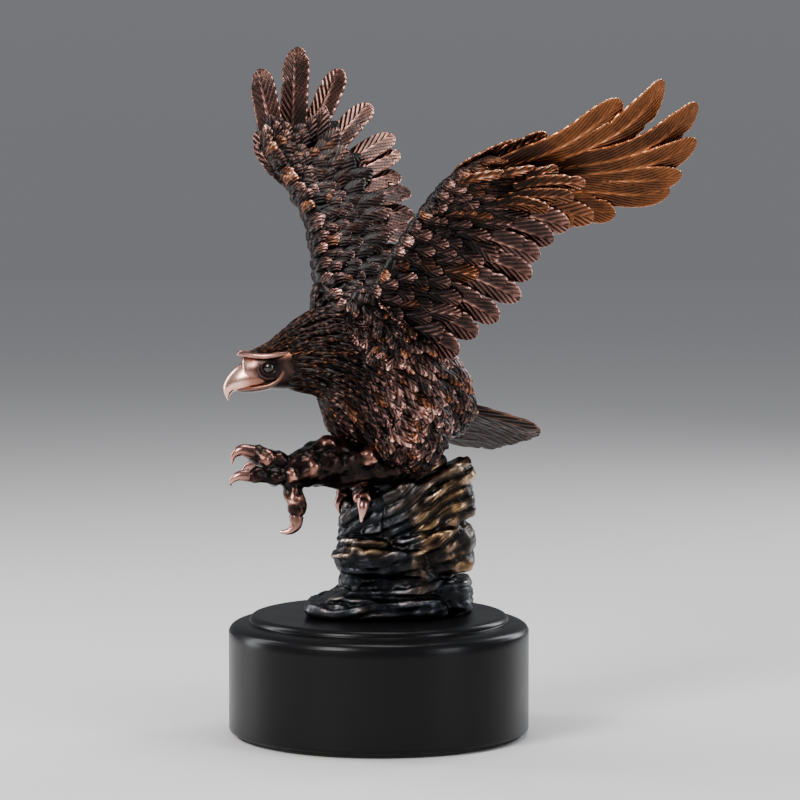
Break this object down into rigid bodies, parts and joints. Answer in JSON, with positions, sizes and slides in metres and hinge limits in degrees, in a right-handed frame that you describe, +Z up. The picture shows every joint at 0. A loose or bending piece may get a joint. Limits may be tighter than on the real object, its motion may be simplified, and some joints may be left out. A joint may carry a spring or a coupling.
{
  "type": "statuette",
  "caption": "Cast bronze statuette of an eagle landing on a layered rock with raised wings and an open clawed foot, fixed on a round black turned plinth.",
  "frame": {"origin": "centre of the underside of the felt pad, on the plinth's axis", "axes": "+Z up along the plinth's axis; the bird's head points to -X and its left wing is on the -Y side"},
  "size_m": [0.1758, 0.1474, 0.2657],
  "materials": {
    "bronze": "cast bronze, dark brown patina rubbed back to copper on raised edges",
    "lacquered_wood": "satin black lacquer",
    "felt": "matt felt",
    "eye_glass": "polished opaque dark glass",
    "steel": "zinc plated"
  },
  "bodies": {
    "root": {"plinth": "lacquered_wood", "felt_pad": "felt", "rock": "bronze", "body": "bronze", "left_wing": "bronze", "right_wing": "bronze", "tail": "bronze", "left_leg": "bronze", "right_leg": "bronze", "left_eye": "eye_glass", "right_eye": "eye_glass", "tie_stud": "steel", "stud_washer": "steel", "stud_nut": "steel", "left_dowel": "steel", "right_dowel": "steel", "left_wing_pin": "steel", "right_wing_pin": "steel", "tail_pin": "steel", "left_leg_pin": "steel", "right_leg_pin": "steel"}
  },
  "joints": []
}
